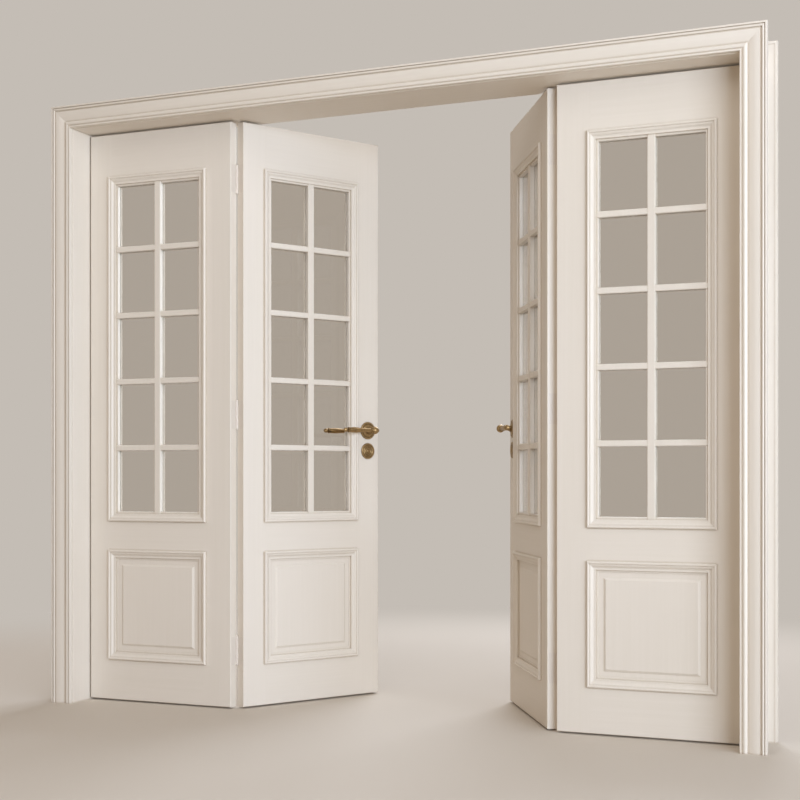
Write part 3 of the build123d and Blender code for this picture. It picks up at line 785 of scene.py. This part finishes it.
@dataclass(frozen=True)
class HingeLine:
    """Three butt hinges on one line, with the screws of their plates."""

    side: Side
    line: Line
    centres: tuple[float, ...] = (200.0, 1050.0, 1900.0)
    jamb_plate_front: float = 12.0      # front face of the leaf to the plates
    fold_plate_front: float = 5.5
    plate_height: float = 100.0
    jamb_gap: float = 4.0
    screw_inset: float = 12.0   # end of the plate to its end screws
    screw_rows: Pair = (8.0, 19.0)      # from the front edge of the plate
    screw_steps: tuple[float, ...] = (-1.0, -1 / 3, 1 / 3, 1.0)     # 1 at the end screws
    screw_turn: float = 37.0    # degrees from one slot to the next
    screw: SlottedScrew = SlottedScrew()

    def build(self) -> None:
        """Dress the hinges and add a screw piece to each body that they join."""
        prefix = f"{self.side.value}_{self.line.value}"
        dress([f"{prefix}_{part}" for part in ("plates_and_pins", "leaf_plates")], HINGE_COAT)
        outer = LeafPlace(self.side, Position.OUTER)
        if self.line is Line.FOLD:
            inner = LeafPlace(self.side, Position.INNER)
            self.screws(outer, outer.width, 1.0, outer.body)
            self.screws(inner, 0.0, -1.0, inner.body)
        else:
            self.screws(outer, 0.0, -1.0, outer.body)
            self.screws(outer, -self.jamb_gap, 1.0, "frame")
        LOG.info("%s line: three hinges painted and screwed", prefix)

    def screws(self, place: LeafPlace, edge: float, facing: float, body: str) -> None:
        """Add the screws of one half of the line.

        Args:
            place: leaf whose measures are used.
            edge: width at which the plates' faces lie, in millimetres.
            facing: 1 where the faces look away from the leaf's hinged edge, or -1.
            body: body that the screws ride on.
        """
        mesh = bmesh.new()
        outward = place.axis(facing, 0, 0)
        height = self.plate_height / 2 - self.screw_inset
        on_fold = self.line is Line.FOLD
        front = self.fold_plate_front if on_fold else self.jamb_plate_front
        for centre in self.centres:
            for i, step in enumerate(self.screw_steps):
                depth = front + self.screw_rows[i % 2]
                spot = place.point(edge, depth, centre + step * height)
                tilt = Matrix.Rotation(math.radians(self.screw_turn * i + centre), 3, outward)
                self.screw.add_to(mesh, spot, outward, tilt @ UP)
        name = f"{self.side.value}_{self.line.value}_screws_on_{body}"
        new_piece(name, mesh, HINGE_COAT, body)


@dataclass(frozen=True)
class Handles:
    """Lever handles on both faces of an inner leaf, with their roses and escutcheons."""

    side: Side

    def build(self) -> None:
        """Dress the levers, roses and escutcheons."""
        side = self.side.value
        dress([f"{side}_lever_handles", f"{side}_roses_and_escutcheons"], BRASS)
        LOG.info("%s handles: levers, roses and escutcheons in antique brass", side)


@dataclass(frozen=True)
class LockAndStrike:
    """Mortise lock in the left inner leaf and the strike plate that it latches in."""

    lever_height: float = 1003.0
    middle_depth: float = 21.0
    forend_ends: Pair = (-110.0, 85.0)      # from the lever's axis
    strike_ends: Pair = (-80.0, 80.0)
    screw_inset: float = 8.0
    screw_turns: Pair = (25.0, 85.0)        # degrees of each slot off upright
    screw: SlottedScrew = SlottedScrew(radius=3.6)

    def build(self) -> None:
        """Dress the lock, the latch bolt and the strike, and screw their plates down."""
        dress(["lock_case", "latch_bolt", "strike_plate"], STEEL)
        self.screws(Side.LEFT, self.forend_ends, "forend_screws")
        self.screws(Side.RIGHT, self.strike_ends, "strike_screws")
        LOG.info("lock: forend and strike plate in brushed steel, two screws each")

    def screws(self, side: Side, ends: Pair, name: str) -> None:
        """Add a screw near each end of a plate on a meeting edge.

        Args:
            side: side of the leaf that carries the plate.
            ends: heights of the plate's ends above the lever's axis.
            name: name of the piece.
        """
        place = LeafPlace(side, Position.INNER)
        mesh = bmesh.new()
        outward = place.axis(1, 0, 0)
        for end, turn in zip(ends, self.screw_turns):
            height = self.lever_height + end - math.copysign(self.screw_inset, end)
            spot = place.point(place.width, self.middle_depth, height)
            tilt = Matrix.Rotation(math.radians(turn), 3, outward)
            self.screw.add_to(mesh, spot, outward, tilt @ UP)
        new_piece(name, mesh, STEEL, place.body)


# Studio ---------------------------------------------------------------------------------------

@dataclass(frozen=True)
class SoftLamp:
    """Large rectangular lamp, which the camera sees neither directly nor through glass."""

    name: str
    place: Point                # in metres, as the two below
    target: Point               # the point that it faces
    size: Pair                  # width and height of its face
    watts: float
    colour: str

    def hang(self) -> None:
        """Hang the lamp in the scene."""
        light = bpy.data.lights.new(self.name, "AREA")
        light.shape = "RECTANGLE"
        light.size, light.size_y = self.size
        light.energy = self.watts
        light.color = linear(self.colour)[:3]
        holder = bpy.data.objects.new(self.name, light)
        holder.visible_camera = False
        holder.visible_transmission = False
        holder.location = self.place
        aim = Vector(self.target) - Vector(self.place)
        holder.rotation_euler = aim.to_track_quat("-Z", "Y").to_euler()
        bpy.context.scene.collection.objects.link(holder)


@dataclass(frozen=True)
class Studio:
    """Pale floor, plain backdrop, soft lamps and the camera."""

    background: str = "#C4BDB5"
    floor: str = "#D8D0C5"
    floor_bounce: str = "#BBAA93"       # what the floor throws back on the doors
    floor_roughness: float = 0.85
    floor_specular: float = 0.2
    floor_size: float = 80.0
    fade: Pair = (2.3, 4.3)     # metres from the doors, floor to backdrop
    ambient: str = "#FFEBD7"
    ambient_strength: float = 0.38
    lamps: tuple[SoftLamp, ...] = (
        SoftLamp("key", (5.1, -5.0, 1.7), (0.0, 0.1, 1.1), (4.4, 2.2), 360.0, "#E0EEFF"),
        SoftLamp("side", (6.6, -1.5, 1.6), (-0.6, 0.1, 1.1), (2.0, 2.0), 80.0, "#D9E9FF"),
        SoftLamp("overhead", (0.6, -3.6, 4.6), (0.0, 0.0, 1.0), (3.0, 3.0), 42.0, "#FFFCF8"),
        SoftLamp("rear", (-0.4, 5.0, 4.2), (0.0, 0.2, 1.1), (3.0, 3.0), 230.0, "#E9F2FF"),
    )
    sensor_mm: float = 36.0
    focal_px: float = 1416.83
    horizon_px: float = 476.798
    frame_px: float = 800.0
    eye: Point = (1923.05, -4440.26, 832.77)
    turn: float = 22.8235       # degrees to the left of square to the wall

    def build(self) -> None:
        """Build the floor, the world, the lamps and the camera."""
        self.lay_floor()
        self.set_world()
        for lamp in self.lamps:
            lamp.hang()
        self.set_camera()
        LOG.info("studio: floor, world, %d lamps and camera", len(self.lamps))

    def backdrop_ray(self, tree: bpy.types.NodeTree) -> bpy.types.NodeSocket:
        """Add the nodes that tell what sees the backdrop directly, by gloss or through glass.

        Args:
            tree: node tree that gets the nodes.

        Returns:
            A socket that is 1 for such a ray and 0 for any other.
        """
        path = add(tree, "ShaderNodeLightPath").outputs
        first = add(
            tree, "ShaderNodeMath", None,
            {0: path["Is Camera Ray"], 1: path["Is Glossy Ray"]}, operation="MAXIMUM",
        )
        return add(
            tree, "ShaderNodeMath", None,
            {0: first.outputs["Value"], 1: path["Is Transmission Ray"]}, operation="MAXIMUM",
        ).outputs["Value"]

    def lay_floor(self) -> None:
        """Lay a pale matt floor that runs out into the backdrop's colour."""
        half = self.floor_size / 2
        mesh = bpy.data.meshes.new("studio_floor")
        corners = [(-half, -half, 0), (half, -half, 0), (half, half, 0), (-half, half, 0)]
        mesh.from_pydata(corners, [], [(0, 1, 2, 3)])
        mesh.materials.append(self.floor_material())
        floor = bpy.data.objects.new("studio_floor", mesh)
        bpy.context.scene.collection.objects.link(floor)

    def floor_material(self) -> bpy.types.Material:
        """Make the floor's material, matt near the doors and plain backdrop beyond.

        Returns:
            The new material.
        """
        material = bpy.data.materials.new("matt_studio_floor")
        material.use_nodes = True
        tree = material.node_tree
        tree.nodes.clear()
        ray = self.backdrop_ray(tree)
        colour = add(
            tree, "ShaderNodeMix",
            {FIRST_COLOUR: linear(self.floor_bounce), SECOND_COLOUR: linear(self.floor)},
            {"Factor": ray}, data_type="RGBA",
        )
        matt = add(
            tree, "ShaderNodeBsdfPrincipled",
            {"Roughness": self.floor_roughness, "Specular IOR Level": self.floor_specular},
            {"Base Color": colour.outputs[MIXED_COLOUR]},
        )
        far = add(tree, "ShaderNodeEmission", {"Color": linear(self.background), "Strength": 1.0})
        place = add(tree, "ShaderNodeTexCoord").outputs["Object"]
        distance = add(tree, "ShaderNodeVectorMath", None, {0: place}, operation="LENGTH")
        fading = add(
            tree, "ShaderNodeMapRange", {"From Min": self.fade[0], "From Max": self.fade[1]},
            {"Value": distance.outputs["Value"]}, interpolation_type="SMOOTHSTEP",
        )
        seen = add(
            tree, "ShaderNodeMath", None,
            {0: fading.outputs["Result"], 1: ray}, operation="MULTIPLY",
        )
        surface = add(
            tree, "ShaderNodeMixShader", None,
            {0: seen.outputs["Value"], 1: matt.outputs["BSDF"], 2: far.outputs["Emission"]},
        )
        add(tree, "ShaderNodeOutputMaterial", None, {"Surface": surface.outputs["Shader"]})
        return material

    def set_world(self) -> None:
        """Light the scene evenly, and show the plain backdrop to the camera."""
        world = bpy.data.worlds.new("studio")
        bpy.context.scene.world = world
        world.use_nodes = True
        tree = world.node_tree
        tree.nodes.clear()
        even = add(
            tree, "ShaderNodeBackground",
            {"Color": linear(self.ambient), "Strength": self.ambient_strength},
        )
        plain = add(
            tree, "ShaderNodeBackground", {"Color": linear(self.background), "Strength": 1.0}
        )
        mixed = add(
            tree, "ShaderNodeMixShader", None,
            {0: self.backdrop_ray(tree), 1: even.outputs["Background"],
             2: plain.outputs["Background"]},
        )
        add(tree, "ShaderNodeOutputWorld", None, {"Surface": mixed.outputs["Shader"]})

    def set_camera(self) -> None:
        """Set the camera at the photograph's standpoint, level, its frame shifted up."""
        camera = bpy.data.cameras.new("camera")
        camera.sensor_width = self.sensor_mm
        camera.lens = self.focal_px / self.frame_px * self.sensor_mm
        camera.shift_y = (self.horizon_px - self.frame_px / 2) / self.frame_px
        camera.dof.use_dof = False
        holder = bpy.data.objects.new("camera", camera)
        holder.location = Vector(self.eye) * MM
        holder.rotation_euler = (math.radians(90.0), 0.0, math.radians(self.turn))
        bpy.context.scene.collection.objects.link(holder)
        bpy.context.scene.camera = holder
        bpy.context.scene.view_settings.view_transform = "Standard"


def main() -> None:
    """Build each sub-assembly in order, then the studio."""
    logging.basicConfig(level=logging.INFO, format="%(name)s %(message)s")
    Lining().build()
    across = {Side.LEFT: Grain.LEFT_INNER, Side.RIGHT: Grain.RIGHT_INNER}
    for side in Side:
        Leaf(side, Position.OUTER, Grain.ALONG_WALL).build()
        Leaf(side, Position.INNER, across[side]).build()
        HingeLine(side, Line.JAMB).build()
        HingeLine(side, Line.FOLD).build()
        Handles(side).build()
    LockAndStrike().build()
    Studio().build()


if __name__ == "__main__":
    main()
